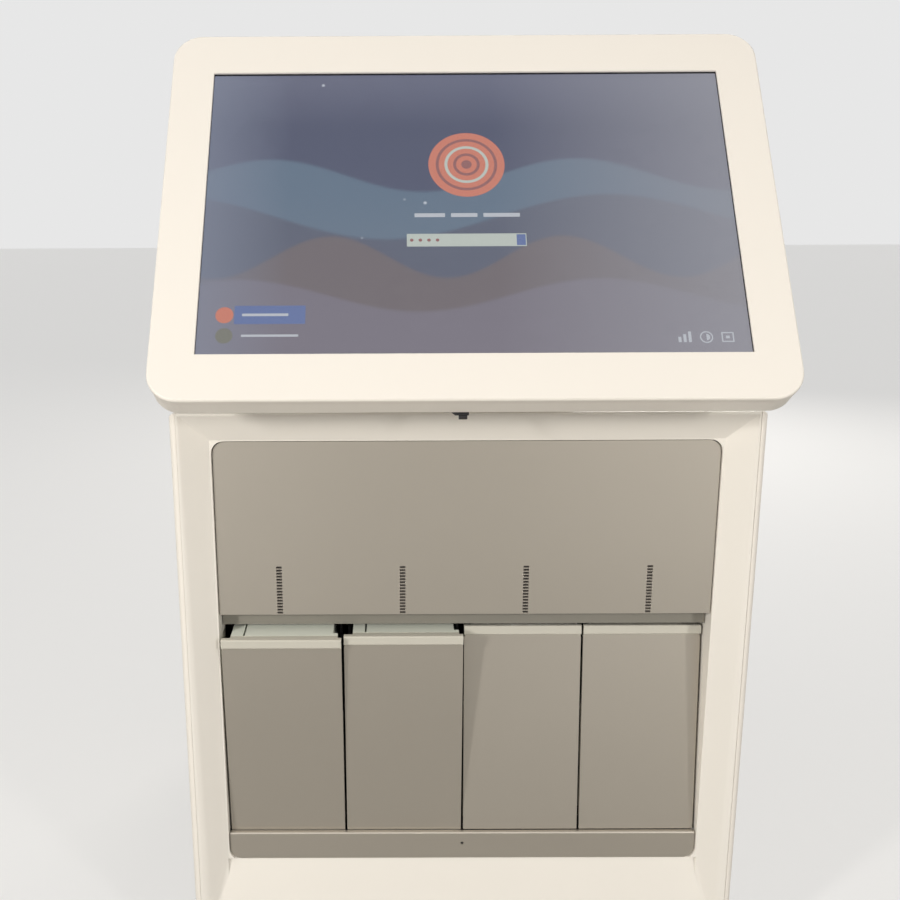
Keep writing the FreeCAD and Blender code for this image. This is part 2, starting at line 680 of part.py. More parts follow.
def make_hinge_rail():
    """Rail behind the kick strip with two lugs for each door pin."""
    rail = body("hinge_rail")
    behind = D.face_y + D.kick_t
    top = D.pin_z - 8
    pad(rail, "YZ", -D.rail_hw, D.rail_hw * 2, [[
        (behind, D.open_bottom + 3), (behind + 16, D.open_bottom + 3), (behind + 16, top),
        (behind, top)]])
    cut(rail, "XZ", behind, 8, circles=[(0, D.screw_z, D.screw_d / 2)])
    first = bay_x(1)
    start = D.lug_hw - D.lug_t
    nose = D.lug_r * 0.414
    lugs = []
    for x in (first - D.lug_hw, first + start):
        lugs.append(pad(rail, "YZ", x, D.lug_t, [[
            (D.pin_y - nose, D.pin_z - D.lug_r), (D.pin_y + 4, top - 1), (behind + 16, top - 1),
            (behind + 16, D.pin_z - 2), (D.pin_y + nose, D.pin_z + D.lug_r), (D.pin_y - nose, D.pin_z + D.lug_r),
            (D.pin_y - D.lug_r, D.pin_z + nose), (D.pin_y - D.lug_r, D.pin_z - nose)]]))
        lugs.append(cut(rail, "YZ", x, D.lug_t, [hexagon(D.pin_y, D.pin_z, D.pin_d)], back=True))
    repeat(rail, lugs, "X", D.pitch, D.bays)


def make_door(bay, opening):
    """Door with its frame, skin and pin; the local origin is on the hinge axis."""
    spot = (bay_x(bay), D.pin_y, D.pin_z)
    angle = val(opening) - D.lean
    hw = (D.pitch - D.door_gap) / 2
    face = -D.skin_out
    inner = face + D.skin_t
    lip_low = D.door_top - D.lip_h
    skin = body("door_%d_skin" % bay, spot, angle)
    pad(skin, "XZ", face, D.skin_t, [box(-hw, hw, D.skin_low, lip_low)], back=True)
    round_off(skin, 2, lambda a, b, m: along(1, a, b) and near(m.z, lip_low))
    frame = body("door_%d_frame" % bay, spot, angle)
    pad(frame, "YZ", -hw, hw * 2, [[
        (inner, 4.5), (inner + D.plate_t, 4.5), (inner + D.plate_t, D.door_top),
        (face - D.lip_out, D.door_top), (face - D.lip_out, lip_low + 0.6), (face - D.lip_out + 0.6, lip_low),
        (inner, lip_low)]])
    round_off(frame, 0.7, lambda a, b, m: along(0, a, b) and near(m.z, D.door_top) and m.y < 0)
    pad(frame, "YZ", -D.barrel_hw, D.barrel_hw * 2, circles=[(0, 0, D.barrel_r)])
    pad(frame, "YZ", -D.barrel_hw, D.barrel_hw * 2, [[
        (inner + 0.2, 0), (inner + 0.2, 6), (inner + D.plate_t, 6), (inner + D.plate_t + 1.5, 0)]])
    cut(frame, "YZ", -D.barrel_hw - 1, D.barrel_hw * 2 + 2, circles=[(0, 0, D.pin_d / 2 + D.fit)],
        back=True)
    make_tray(frame, hw, inner)
    pin = body("door_%d_pin" % bay, spot, angle)
    pad(pin, "YZ", -D.lug_hw, D.lug_hw * 2, circles=[(0, 0, D.pin_d / 2)])


def make_tray(frame, hw, inner):
    """Hollow tray behind the door's lip, with a latch finger at the left and a step at the right."""
    right = D.tray_hw + D.tray_step
    notch = D.tray_low + D.step_deep
    for x0, x1 in ((-hw - 1, -D.tray_hw), (right, hw + 1)):
        cut(frame, "XZ", inner + D.seam, D.plate_t, [box(x0, x1, notch, D.door_top + 1)])
    base = inner + D.plate_t - D.seam
    top = D.door_top
    pad(frame, "XY", D.tray_low, top - D.tray_low, [box(-D.tray_hw, D.tray_hw, base, D.tray_back)])
    pad(frame, "XY", top - D.lip_h, D.lip_h, [box(D.tray_hw, right, base, base + D.step_deep)])
    wall = D.tray_wall
    cut(frame, "XY", top - wall, top - D.tray_low - wall, [
        box(-D.tray_hw + wall, D.tray_hw - wall, base + wall, D.tray_back + 1)])
    cut(frame, "XY", top, wall, [
        box(D.latch_x - D.latch_w / 2, D.latch_x + D.latch_w / 2, base + D.seam, D.tray_back + 1)])


def make_module(bay):
    """Black housing with the pale cartridge receiver inside."""
    spot = (bay_x(bay), 0, 0)
    shell = block("module_%d_housing" % bay, (-D.bay_hw, D.bay_hw), (D.bay_front, D.bay_back),
                  (D.bay_low, D.bay_top), spot)
    wall = D.bay_wall
    cut(shell, "XZ", D.bay_front, D.bay_back - D.bay_front - wall, [
        box(-D.bay_hw + wall, D.bay_hw - wall, D.bay_low + wall, D.bay_top - wall)])
    face = D.bay_front + D.rec_gap
    low = D.bay_low + wall
    receiver = block("module_%d_receiver" % bay, (-D.rec_hw, D.rec_hw), (face, face + D.rec_deep),
                     (low, D.bay_top - wall - 6), spot)
    cut(receiver, "XZ", face, D.pocket_deep, [
        box(-D.pocket_hw, D.pocket_hw, low + D.pocket_low, low + D.pocket_low + D.pocket_h)],
        back=False)


def make_inside():
    behind = D.face_y + D.kick_t
    shelf = body("module_shelf")
    hw = D.inner_hw
    back = D.bay_back + 8
    pad(shelf, "XY", D.bay_low - D.shelf_t, D.shelf_t, [box(-hw, hw, behind + 16, back)])
    for x in (-hw, hw - D.shelf_t):
        pad(shelf, "YZ", x, D.shelf_t, [box(behind + 16, back, D.plate_z, D.bay_low)])
    half = D.pitch * D.bays / 2
    block("backplane_board", (-half, half), (D.bay_back, D.bay_back + D.board_t), (D.bay_low, D.bay_top))
    floor = D.shell_z + D.wall
    front = D.bay_back + D.inside_gap
    left = D.supply_in - D.half_w
    block("power_supply", (left, left + D.supply_w), (front, D.rear_y - D.supply_back),
          (floor, floor + D.supply_h))
    make_main_board(front, floor)


def make_main_board(front, floor):
    level = D.plate_z + D.main_up
    back = D.rear_y - D.main_back
    right = D.half_w - D.main_in
    left = right - D.main_w
    main = block("main_board", (left, right), (front, back), (level, level + D.board_t))
    near_edge, size = D.post_in, D.post
    pad(main, "XY", level, level - floor, [
        box(x, x + size, y, y + size)
        for x in (left + near_edge, right - near_edge - size)
        for y in (front + near_edge, back - near_edge - size)], back=True)
    x = left + D.chip_w
    y = front + D.inside_gap
    pad(main, "XY", level + D.board_t, D.chip_h, [box(x, x + D.chip_w, y, y + D.chip_w)])


def make_monitor():
    spot = (0, D.disp_y, D.disp_z)
    hw = D.half_w
    bezel = body("monitor_bezel", spot, D.phi)
    pad(bezel, "XY", 0, D.bezel_t, [box(-hw, hw, D.mon_low, D.mon_high)], back=True)
    round_off(bezel, D.mon_r, lambda a, b, m: along(2, a, b))
    ease(bezel, D.bezel_ease, lambda a, b, m: near(m.z, 0))
    half = D.disp_hw
    cut(bezel, "XY", 0, D.bezel_t, [box(-half, half, 0, D.disp_h)])
    over = D.glass_over
    cut(bezel, "XY", -D.lip_t, D.bezel_t, [box(-half - over - D.seam, half + over + D.seam,
                                               -over - D.seam, D.disp_h + over + D.seam)])
    glass = body("touch_glass", spot, D.phi)
    pad(glass, "XY", -D.lip_t, D.glass_t, [box(-half - over, half + over, -over, D.disp_h + over)],
        back=True)
    panel = body("display_panel", spot, D.phi)
    pad(panel, "XY", -D.lip_t - D.glass_t, D.panel_t, [
        box(-half - over, half + over, -over, D.disp_h + over)], back=True)
    make_rear_shell(spot, hw)
    tab = body("monitor_tab", spot, D.phi)
    high = D.mon_low + 6
    low = D.mon_low - 0.4
    pad(tab, "XY", -D.shell_t, D.tab_t, [[
        (-D.tab_left, high), (-D.tab_left, low + 1.6), (-D.tab_left + 1.8, low), (-D.tab_right, low),
        (-D.tab_right, high)]], back=True)
    pad(tab, "XY", -D.shell_t - D.tab_t, D.tab_t, [
        box(-D.tab_left + 3.5, -D.tab_right - 0.7, low - 1.4, high - 2)], back=True)


def make_rear_shell(spot, hw):
    shell = body("monitor_rear_shell", spot, D.phi)
    inset = D.shell_in
    low = D.mon_low + inset
    high = D.mon_high - inset
    pad(shell, "XY", -D.bezel_t, D.shell_t - D.bezel_t, [box(-hw + inset, hw - inset, low, high)],
        back=True)
    round_off(shell, D.mon_r - inset, lambda a, b, m: along(2, a, b))
    ease(shell, D.shell_ease, lambda a, b, m: near(m.z, -D.shell_t))
    pad(shell, "XY", -D.shell_t, D.hump_out - D.shell_t, [
        box(-D.hump_hw, D.hump_hw, D.hump_low, D.hump_high)], back=True)
    ease(shell, 4, lambda a, b, m: near(m.z, -D.hump_out))
    cut(shell, "XY", -D.bezel_t, D.shell_t - D.bezel_t - D.rib, [
        box(-hw + inset + 6, hw - inset - 6, low + 6, high - 6)])
    cut(shell, "XY", -D.shell_t, D.hump_out - D.shell_t - D.rib, [
        box(-D.hump_hw + D.rib, D.hump_hw - D.rib, D.hump_low + D.rib, D.hump_high - D.rib)])
    x = -D.duct_pitch * (D.duct_n - 1) / 2
    top = D.hump_high - D.duct_down
    duct = cut(shell, "XY", -D.hump_out, D.rib * 2, [
        box(x - D.duct_w / 2, x + D.duct_w / 2, top - D.duct_h, top)], back=True)
    repeat(shell, [duct], "X", D.duct_pitch, D.duct_n)


def make_mount():
    """Neck on the cabinet's top, yoke on the display unit and the pin between them."""
    base = D.top_z
    hw = D.neck_hw
    half_d = D.neck_d / 2
    neck = body("monitor_neck", (0, D.pivot_y, 0))
    pad(neck, "XY", base, 8, [box(-hw - 10, hw + 10, -half_d - 4, half_d + 12)])
    round_off(neck, 4, lambda a, b, m: along(2, a, b))
    inner = hw - D.cheek_t
    for x in (-hw, inner):
        pad(neck, "YZ", x, D.cheek_t, [[
            (-half_d, base + 7), (half_d, base + 7), (D.knuckle_r - 1, D.pivot_z),
            (-D.knuckle_r + 1, D.pivot_z)]])
        pad(neck, "YZ", x, D.cheek_t, circles=[(0, D.pivot_z, D.knuckle_r)])
    cut(neck, "YZ", -hw - 1, hw * 2 + 2, circles=[(0, D.pivot_z, D.tilt_d / 2 + D.fit)], back=True)
    pin = body("tilt_pin", (0, D.pivot_y, D.pivot_z))
    pad(pin, "YZ", -hw - 1.5, hw * 2 + 3, circles=[(0, 0, D.tilt_d / 2)])
    yoke = body("monitor_yoke", (0, D.pivot_y, D.pivot_z), D.phi)
    reach = D.disp_out * sine(D.phi) - D.disp_down * cosine(D.phi) - D.hump_out
    width = inner - D.seam
    pad(yoke, "YZ", -width, width * 2, circles=[(0, 0, D.knuckle_r - 1)])
    pad(yoke, "YZ", -width, width * 2, [[(-9, 0), (9, 0), (9, reach), (-9, reach)]])
    pad(yoke, "XY", reach, 4, [box(-width, width, -28, 28)], back=True)
    cut(yoke, "YZ", -width - 1, width * 2 + 2, circles=[(0, 0, D.tilt_d / 2)], back=True)


def make_all():
    make_sides()
    make_surround()
    make_covers()
    make_rear()
    make_connectors()
    make_fascia()
    make_kick()
    make_hinge_rail()
    for bay in range(1, BAYS + 1):
        make_door(bay, OPENINGS.get(bay, 0))
        make_module(bay)
    make_inside()
    make_monitor()
    make_mount()


def write_parts():
    DOC.recompute()
    for obj in DOC.Objects:
        if "Invalid" in obj.State or "Error" in obj.State:
            raise ValueError("%s is in state %s" % (obj.Label, obj.State))
    os.makedirs("parts", exist_ok=True)
    for node in NODES:
        if node.Shape.isNull() or not node.Shape.isValid():
            raise ValueError(node.Label + " has no valid shape")
        node.Shape.exportStep("parts/%s.step" % node.Label)


make_all()
write_parts()
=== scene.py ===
import bpy
import math
from mathutils import Matrix, Vector


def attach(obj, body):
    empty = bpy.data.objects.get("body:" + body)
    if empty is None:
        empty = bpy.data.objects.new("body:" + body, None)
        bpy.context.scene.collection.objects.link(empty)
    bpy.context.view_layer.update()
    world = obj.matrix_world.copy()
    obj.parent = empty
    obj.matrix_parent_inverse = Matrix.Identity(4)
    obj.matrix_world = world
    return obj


# Bench-top four-bay instrument: looks, screen picture, small fittings, stage and camera.
# Lengths are in metres, and those drawn on the display and on the rocker in millimetres.

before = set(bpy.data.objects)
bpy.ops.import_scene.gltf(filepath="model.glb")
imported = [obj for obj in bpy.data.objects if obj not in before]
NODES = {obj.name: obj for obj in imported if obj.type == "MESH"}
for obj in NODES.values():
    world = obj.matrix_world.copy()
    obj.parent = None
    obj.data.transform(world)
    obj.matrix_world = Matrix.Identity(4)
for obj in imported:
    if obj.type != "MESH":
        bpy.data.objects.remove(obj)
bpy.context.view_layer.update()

# Places on the solids
DISPLAY = Matrix.Translation((0, -0.176, 0.365)) @ Matrix.Rotation(math.radians(55.29), 4, "X")
BAYS = 4
PIN_Y = -0.1225
PIN_Z = 0.0862
REAR_Y = 0.1915
REAR_SCREW_X = 0.1415
REAR_SCREW_ROWS = (0.019, 0.118, 0.217, 0.316)
FAN_X = 0.074
FAN_Z = 0.250
FAN_SCREW_STEP = 0.03575
KICK_SCREW = (0, -0.1295, 0.0773)
SHELL_SCREWS = ((-78, 32), (78, 32), (-78, 138), (78, 138))
SHELL_BACK = -31
ROCKER = Matrix.Translation((-0.076, 0.1885, 0.046)) @ Matrix.Rotation(math.radians(10), 4, "X")
ROCKER_SLOPE = math.atan2(1.8, 8.5)
ROCKER_FACE_OUT = 0.00453
ROCKER_FACE_UP = 0.00425

# Fittings
PAN_SCREW_R = 0.0028
SHELL_SCREW_R = 0.0022
# Each shell screw's well is a thin black disc: painted shade for its hollow.
SHELL_WELL_R = 0.0034
SHELL_WELL_H = 0.00005
# The kick screw's socket is a thin black disc: painted shade for its hollow.
SOCKET_R = 0.00042
SOCKET_H = 0.00004
MARK_LIFT = 0.03

# Fine rounding of the solids' edges
EDGE_WIDTH = 0.0003
EDGE_ANGLE = math.radians(38)
WELD_REACH = 0.000005
UNSOFTENED = ("touch_glass", "display_panel")

# Door plastic: the depths between which the lip's colour gives way to the tray's, measured from the
# pin, and the lean in degrees of doors 1 and 2 and of the shut ones
LIP_COLOR = (0.60, 0.575, 0.50)
# The tray's colour is the lip's plastic painted paler: painted light on the tray tops, which lie in
# the fascia's shade.
TRAY_PAINTED_LIGHT_COLOR = (0.87, 0.90, 0.80)
LIP_DEPTH = (-0.0009, -0.0003)
DOOR_LEANS = (3.7, 1.8, -4.8)

# Grain: the values between which a noise mostly lies, how far it sways a surface's gloss, and the
# height that a bump of full strength would have
NOISE_LOW = 0.3
NOISE_HIGH = 0.7
GLOSS_SWAY = 0.06
BUMP_HEIGHT = 0.0004

# Lit area of the display, its layers and its colours on a display's scale of 0 to 255
SCREEN_W = 261.1
SCREEN_H = 163.2
SCREEN_LEVEL = 0.8
PICTURE_LAYER = -2.55
MARK_LAYER = -2.5
TOP_LAYER = -2.48
SCREEN_OFF = (0.01, 0.01, 0.012)
SKY = ((0.0, (128, 122, 132)), (0.3, (116, 112, 124)), (0.55, (72, 79, 108)),
       (0.8, (70, 77, 106)), (1.0, (102, 106, 130)))
# Each hill's level, swing, number of waves, phase and colour, from far to near
HILLS = ((0.62, 0.10, 1.7, 0.3, (98, 122, 144)), (0.47, 0.13, 1.2, 2.1, (84, 87, 108)),
         (0.33, 0.12, 2.3, 4.4, (116, 104, 106)), (0.2, 0.09, 1.5, 0.9, (124, 119, 134)))
RIGHT_WASH = (164, 164, 172)
LEFT_WASH = (140, 148, 168)
DUST = (205, 210, 220)
SCREEN_TONES = {
    "field": (196, 204, 196),
    "tile": (96, 116, 168),
    "line": (196, 200, 208),
    "amber": (212, 126, 104),
    "dusk": (150, 96, 96),
    "moss": (122, 122, 112),
}

# Stage
FLOOR_SIZE = 16
FLOOR_PLACE = (0, 2, -0.0002)
FLOOR_COLOR = (0.40, 0.395, 0.385)
FLOOR_LIFT = 0.45
AMBIENT_COLOR = (1.0, 0.985, 0.95)
AMBIENT = 0.26
BACKDROP_COLOR = (0.8, 0.8, 0.8)

# Each lamp's name, place, target, width and height, and power
FRONT = (0, -0.13, 0.24)
BACK = (0, 0.19, 0.2)
LAMPS = (
    ("key_left", (-1.05, -1.15, 0.68), FRONT, (0.12, 0.2), 11.5),
    ("key_right", (0.95, -1.35, 0.68), FRONT, (0.15, 0.2), 7.8),
    ("front_fill", (-0.03, -1.15, 0.66), FRONT, (0.25, 0.25), 0.6),
    ("back_fill", (0.45, 1.55, 0.85), BACK, (0.6, 0.6), 9),
)
LAMP_COLOR = (1, 0.97, 0.92)

# The overhead sun, its spread and tilt in degrees
OVERHEAD_POWER = 0.54
OVERHEAD_SPREAD = 70
OVERHEAD_TILT = 22
OVERHEAD_COLOR = (1, 0.98, 0.95)

# Camera, its turn in degrees and its lens and sensor in millimetres
CAMERA_PLACE = (-0.0354, -0.6705, 0.4337)
CAMERA_TURN = (76.2498, 0.2817, 0.1711)
CAMERA_LENS = 42.668
CAMERA_SENSOR = 36
CAMERA_SHIFT = (0.0620, 0.0137)


# Shader building blocks

def new_material(name):
    mat = bpy.data.materials.new(name)
    mat.use_nodes = True
    return mat, mat.node_tree, mat.node_tree.nodes["Principled BSDF"]


def link(tree, source, target):
    tree.links.new(source, target)


def feed(tree, value, socket):
    """Link another node's output to a socket, or set a plain value on it."""
    if isinstance(value, bpy.types.NodeSocket):
        link(tree, value, socket)
    else:
        socket.default_value = value


def rgba(color):
    return [*color, 1]


def linear(tone):
    """Scene-linear colour from a display's values of 0 to 255."""
    parts = [value / 255 for value in tone]
    return [c / 12.92 if c <= 0.04045 else ((c + 0.055) / 1.055) ** 2.4 for c in parts]


def split_coord(tree, output):
    """The three parts of a texture coordinate."""
    coord = tree.nodes.new("ShaderNodeTexCoord")
    parts = tree.nodes.new("ShaderNodeSeparateXYZ")
    link(tree, coord.outputs[output], parts.inputs["Vector"])
    return parts.outputs["X"], parts.outputs["Y"], parts.outputs["Z"]


def noise(tree, scale, detail=4.0, rough=0.6):
    coord = tree.nodes.new("ShaderNodeTexCoord")
    node = tree.nodes.new("ShaderNodeTexNoise")
    node.inputs["Scale"].default_value = scale
    node.inputs["Detail"].default_value = detail
    node.inputs["Roughness"].default_value = rough
    link(tree, coord.outputs["Object"], node.inputs["Vector"])
    return node.outputs["Fac"]


def ramp(tree, source, low, high, start, end):
    """A value that goes from start to end while the source goes from low to high."""
    node = tree.nodes.new("ShaderNodeMapRange")
    node.inputs["From Min"].default_value = low
    node.inputs["From Max"].default_value = high
    node.inputs["To Min"].default_value = start
    node.inputs["To Max"].default_value = end
    link(tree, source, node.inputs["Value"])
    return node.outputs["Result"]


def math_node(tree, kind, *values):
    node = tree.nodes.new("ShaderNodeMath")
    node.operation = kind
    for value, socket in zip(values, node.inputs):
        feed(tree, value, socket)
    return node.outputs["Value"]


def blend(tree, factor, below, above):
    """Two colours mixed by a factor from 0 to 1."""
    mix = tree.nodes.new("ShaderNodeMix")
    mix.data_type = "RGBA"
    feed(tree, factor, mix.inputs["Factor"])
    feed(tree, below, mix.inputs["A"])
    feed(tree, above, mix.inputs["B"])
    return mix.outputs["Result"]


def tinted(tree, color, factor, spread):
    """A colour made darker and lighter by a factor from 0 to 1."""
    dark = [c * (1 - spread) for c in color]
    light = [min(1, c * (1 + spread)) for c in color]
    return blend(tree, factor, rgba(dark), rgba(light))


def vertical_ramp(tree, up, stops):
    """Colours at given heights, running into one another."""
    node = tree.nodes.new("ShaderNodeValToRGB")
    band = node.color_ramp
    while len(band.elements) < len(stops):
        band.elements.new(0.5)
    for element, (height, tone) in zip(band.elements, stops):
        element.position = height
        element.color = rgba(linear(tone))
    link(tree, up, node.inputs["Fac"])
    return node.outputs["Color"]


# Surfaces of the object

def surface(name, color, rough=0.45, metal=0.0, grain=900.0, bump=0.03, spread=0.02, patch=14.0):
    """A moulded or painted surface: faint colour patches, grain in the gloss and a fine bump."""
    mat, tree, shader = new_material(name)
    broad = noise(tree, patch, 3.0, 0.55)
    fine = noise(tree, grain, 3.0)
    link(tree, tinted(tree, color, broad, spread), shader.inputs["Base Color"])
    gloss = ramp(tree, fine, NOISE_LOW, NOISE_HIGH, rough - GLOSS_SWAY, rough + GLOSS_SWAY)
    link(tree, gloss, shader.inputs["Roughness"])
    shader.inputs["Metallic"].default_value = metal
    bumper = tree.nodes.new("ShaderNodeBump")
    bumper.inputs["Strength"].default_value = bump
    bumper.inputs["Distance"].default_value = BUMP_HEIGHT
    link(tree, fine, bumper.inputs["Height"])
    link(tree, bumper.outputs["Normal"], shader.inputs["Normal"])
    return mat


def door_plastic(name, lean):
    """Cream lip in front and a paler, cooler tray behind it, for a door that leans forward; the tray's
    paleness is painted light on its top.
    """
    mat = surface(name, LIP_COLOR, 0.4, spread=0.015)
    tree = mat.node_tree
    target = tree.nodes["Principled BSDF"].inputs["Base Color"]
    lip = target.links[0].from_socket
    _, y, z = split_coord(tree, "Object")
    turn = math.radians(lean)
    along = math_node(tree, "MULTIPLY", math_node(tree, "SUBTRACT", y, PIN_Y), math.cos(turn))
    rise = math_node(tree, "MULTIPLY", math_node(tree, "SUBTRACT", z, PIN_Z), math.sin(turn))
    # Mask for the tray behind the lip, which gets the paler colour of painted light.
    behind = ramp(tree, math_node(tree, "ADD", along, rise), *LIP_DEPTH, 0.0, 1.0)
    link(tree, blend(tree, behind, lip, rgba(TRAY_PAINTED_LIGHT_COLOR)), target)
    return mat


def brushed(name, color, rough):
    """Metal with fine streaks along X."""
    mat, tree, shader = new_material(name)
    coord = tree.nodes.new("ShaderNodeTexCoord")
    place = tree.nodes.new("ShaderNodeMapping")
    place.inputs["Scale"].default_value = (12.0, 900.0, 900.0)
    streaks = tree.nodes.new("ShaderNodeTexNoise")
    streaks.inputs["Scale"].default_value = 1.0
    streaks.inputs["Detail"].default_value = 4.0
    link(tree, coord.outputs["Object"], place.inputs["Vector"])
    link(tree, place.outputs["Vector"], streaks.inputs["Vector"])
    link(tree, tinted(tree, color, streaks.outputs["Fac"], 0.08), shader.inputs["Base Color"])
    gloss = ramp(tree, streaks.outputs["Fac"], NOISE_LOW, NOISE_HIGH, rough - 0.08, rough + 0.1)
    link(tree, gloss, shader.inputs["Roughness"])
    shader.inputs["Metallic"].default_value = 1.0
    return mat


def board(name):
    """Solder-masked board with tracks showing through."""
    mat, tree, shader = new_material(name)
    coord = tree.nodes.new("ShaderNodeTexCoord")
    tracks = tree.nodes.new("ShaderNodeTexBrick")
    tracks.inputs["Scale"].default_value = 240.0
    tracks.inputs["Color1"].default_value = (0.012, 0.085, 0.04, 1)
    tracks.inputs["Color2"].default_value = (0.015, 0.1, 0.05, 1)
    tracks.inputs["Mortar"].default_value = (0.03, 0.17, 0.08, 1)
    tracks.inputs["Mortar Size"].default_value = 0.06
    link(tree, coord.outputs["Object"], tracks.inputs["Vector"])
    link(tree, tracks.outputs["Color"], shader.inputs["Base Color"])
    shader.inputs["Roughness"].default_value = 0.35
    return mat


def glass(name):
    """Thin cover glass: clear, with a soft reflection and faint wipe marks in it."""
    mat, tree, shader = new_material(name)
    tree.nodes.remove(shader)
    clear = tree.nodes.new("ShaderNodeBsdfTransparent")
    clear.inputs["Color"].default_value = (0.97, 0.975, 0.98, 1)
    gloss = tree.nodes.new("ShaderNodeBsdfGlossy")
    haze = noise(tree, 9.0, 5.0, 0.65)
    link(tree, ramp(tree, haze, 0.35, 0.65, 0.16, 0.34), gloss.inputs["Roughness"])
    fresnel = tree.nodes.new("ShaderNodeFresnel")
    fresnel.inputs["IOR"].default_value = 1.45
    mix = tree.nodes.new("ShaderNodeMixShader")
    link(tree, fresnel.outputs["Fac"], mix.inputs["Fac"])
    link(tree, clear.outputs["BSDF"], mix.inputs[1])
    link(tree, gloss.outputs["BSDF"], mix.inputs[2])
    link(tree, mix.outputs["Shader"], tree.nodes["Material Output"].inputs["Surface"])
    return mat


def screen_material(name):
    """A dark matt face for the screen's own light."""
    mat, tree, shader = new_material(name)
    shader.inputs["Base Color"].default_value = rgba(SCREEN_OFF)
    shader.inputs["Roughness"].default_value = 0.5
    shader.inputs["Emission Strength"].default_value = SCREEN_LEVEL
    return mat, tree, shader.inputs["Emission Color"]


def glow(name, tone):
    """A flat lit patch of the screen, with faint pixels."""
    mat, tree, light = screen_material(name)
    link(tree, tinted(tree, linear(tone), noise(tree, 2500.0, 1.0, 0.5), 0.03), light)
    return mat


def hill(tree, below, across, up, level, swing, waves, phase, tone):
    """One rolling outline with a soft edge, mixed over what lies behind it."""
    angle = math_node(tree, "MULTIPLY_ADD", across, waves * 2 * math.pi, phase)
    wave = math_node(tree, "MULTIPLY", math_node(tree, "SINE", angle), swing * 0.6)
    gap = math_node(tree, "SUBTRACT", math_node(tree, "ADD", wave, level), up)
    return blend(tree, ramp(tree, gap, -0.004, 0.01, 0.0, 0.8), below, rgba(linear(tone)))


def specks(tree, color):
    """Dust on the glass seen against the picture, in a tenth of the cells."""
    coord = tree.nodes.new("ShaderNodeTexCoord")
    cells = tree.nodes.new("ShaderNodeTexVoronoi")
    cells.inputs["Scale"].default_value = 95.0
    link(tree, coord.outputs["Object"], cells.inputs["Vector"])
    near = ramp(tree, cells.outputs["Distance"], 0.03, 0.11, 1.0, 0.0)
    chance = tree.nodes.new("ShaderNodeSeparateColor")
    link(tree, cells.outputs["Color"], chance.inputs["Color"])
    few = ramp(tree, chance.outputs["Red"], 0.90, 0.91, 0.0, 1.0)
    return blend(tree, math_node(tree, "MULTIPLY", near, few), color, rgba(linear(DUST)))


def screen_picture(name):
    """Wallpaper of soft rolling hills at dusk under a hazy blue-grey sky, paler to both sides."""
    mat, tree, light = screen_material(name)
    across, up, _ = split_coord(tree, "Generated")
    color = vertical_ramp(tree, up, SKY)
    for shape in HILLS:
        color = hill(tree, color, across, up, *shape)
    color = blend(tree, ramp(tree, across, 0.55, 1.05, 0.0, 0.75), color, rgba(linear(RIGHT_WASH)))
    color = blend(tree, ramp(tree, across, 0.16, -0.05, 0.0, 0.7), color, rgba(linear(LEFT_WASH)))
    link(tree, specks(tree, color), light)
    return mat


def make_materials():
    mats = {
        "white": surface("white_plastic", (0.88, 0.83, 0.76), 0.42, spread=0.012),
        # The front surround's white is a slightly darker copy of the white plastic: painted shade.
        "front_white_shaded": surface("front_white_shaded", (0.85, 0.81, 0.745), spread=0.012),
        "panel": surface("panel_white", (0.80, 0.785, 0.73), 0.5, grain=500, bump=0.06),
        "taupe": surface("taupe_paint", (0.475, 0.435, 0.375), 0.34, metal=0.65, grain=1600,
                         bump=0.012, spread=0.03, patch=8.0),
        "rail": surface("rail_paint", (0.25, 0.235, 0.20), 0.5, metal=0.2, grain=1600),
        "pale": surface("pale_plastic", (0.60, 0.64, 0.58)),
        "black": surface("black_plastic", (0.012, 0.012, 0.014), 0.5, bump=0.08, spread=0.1),
        "rubber": surface("rubber_black", (0.015, 0.015, 0.015), 0.8, bump=0.15, spread=0.1),
        "clear": surface("smoked_guide", (0.05, 0.045, 0.05), 0.3),
        "zinc": brushed("zinc_sheet", (0.55, 0.56, 0.57), 0.38),
        "steel": brushed("steel", (0.6, 0.6, 0.6), 0.28),
        "dark_steel": brushed("dark_steel", (0.09, 0.085, 0.08), 0.4),
        "board": board("board_green"),
        "glass": glass("cover_glass"),
        "screen_back": surface("panel_edge", (0.02, 0.02, 0.024), 0.4),
        "mark": surface("mark_white", (0.75, 0.75, 0.73), 0.5),
    }
    for index, lean in enumerate(DOOR_LEANS, 1):
        mats["lip_%d" % index] = door_plastic("lip_plastic_%d" % index, lean)
    return mats


def paint(mats):
    """Give every CAD node its material."""
    plan = {
        "white": ["side_panel_left", "side_panel_right", "top_cover", "monitor_bezel",
                  "monitor_rear_shell", "monitor_neck"],
        "front_white_shaded": ["front_surround"],
        "panel": ["rear_panel", "base_tray"],
        "taupe": ["fascia_panel", "kick_strip"],
        "rail": ["header_rail"],
        "rubber": ["foot_1", "foot_2", "foot_3", "foot_4"],
        "pale": [],
        "steel": ["tilt_pin"],
        "dark_steel": ["kick_screw"],
        "zinc": ["hinge_rail", "module_shelf", "power_supply", "port_block"],
        "black": ["power_inlet", "rocker_case", "power_rocker", "fan_frame_1", "fan_frame_2",
                  "fan_rotor_1", "fan_rotor_2", "monitor_tab", "monitor_yoke"],
        "clear": ["light_guide"],
        "board": ["led_board", "main_board", "backplane_board"],
        "glass": ["touch_glass"],
        "screen_back": ["display_panel"],
    }
    for bay in range(1, BAYS + 1):
        plan["taupe"].append("door_%d_skin" % bay)
        plan["steel"].append("door_%d_pin" % bay)
        plan["black"].append("module_%d_housing" % bay)
        plan["pale"].append("module_%d_receiver" % bay)
        lip = "lip_%d" % min(bay, len(DOOR_LEANS))
        plan.setdefault(lip, []).append("door_%d_frame" % bay)
    for key, names in plan.items():
        for name in names:
            mesh = NODES[name].data
            mesh.materials.clear()
            mesh.materials.append(mats[key])
    missing = [name for name in NODES if not NODES[name].data.materials]
    if missing:
        raise ValueError("no material on %s" % missing)


